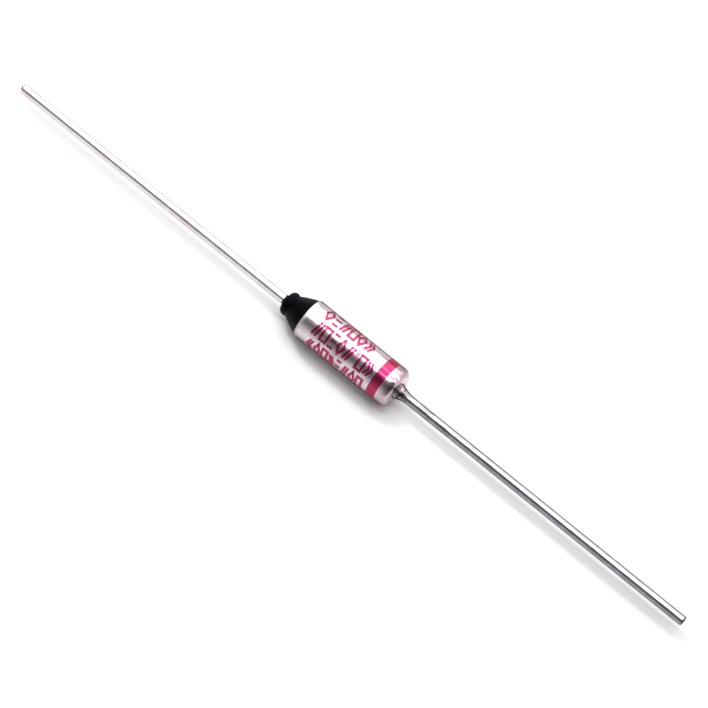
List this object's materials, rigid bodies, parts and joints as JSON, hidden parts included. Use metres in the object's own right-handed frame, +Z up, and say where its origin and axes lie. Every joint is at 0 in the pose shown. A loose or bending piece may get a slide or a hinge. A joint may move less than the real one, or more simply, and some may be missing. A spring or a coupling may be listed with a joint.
{
  "type": "thermal fuse",
  "caption": "Axial-lead thermal fuse: slim plated metal case with a printed ring, black resin seal and straight wire leads; a fusible pellet inside opens the circuit on overheating.",
  "frame": {"origin": "on the axis of the fuse, halfway along its metal case", "axes": "+X along the axis, from the sealed end with the contact lead to the closed end with the case lead; +Z up"},
  "size_m": [0.0812, 0.0042, 0.0042],
  "materials": {
    "silver_plate": "satin silver plating on a drawn brass case",
    "silver_lead": "bright silver plating on drawn copper wire",
    "tin_lead": "tin plating on drawn copper wire",
    "black_resin": "cured black resin with a satin skin",
    "crimson_ink": "thin crimson marking ink",
    "white_ceramic": "fired and unglazed",
    "spring_steel": "drawn wire",
    "contact_silver": "stamped silver-alloy sheet",
    "disc_brass": "stamped sheet",
    "pellet": "pressed organic powder"
  },
  "bodies": {
    "root": {"metal_case": "silver_plate", "case_lead": "tin_lead", "contact_lead": "silver_lead", "resin_seal": "black_resin", "ceramic_bushing": "white_ceramic", "trip_spring": "spring_steel", "sliding_contact": "contact_silver", "contact_disc": "disc_brass", "main_spring": "spring_steel", "pellet_disc": "disc_brass", "thermal_pellet": "pellet", "ink_band": "crimson_ink"}
  },
  "joints": []
}
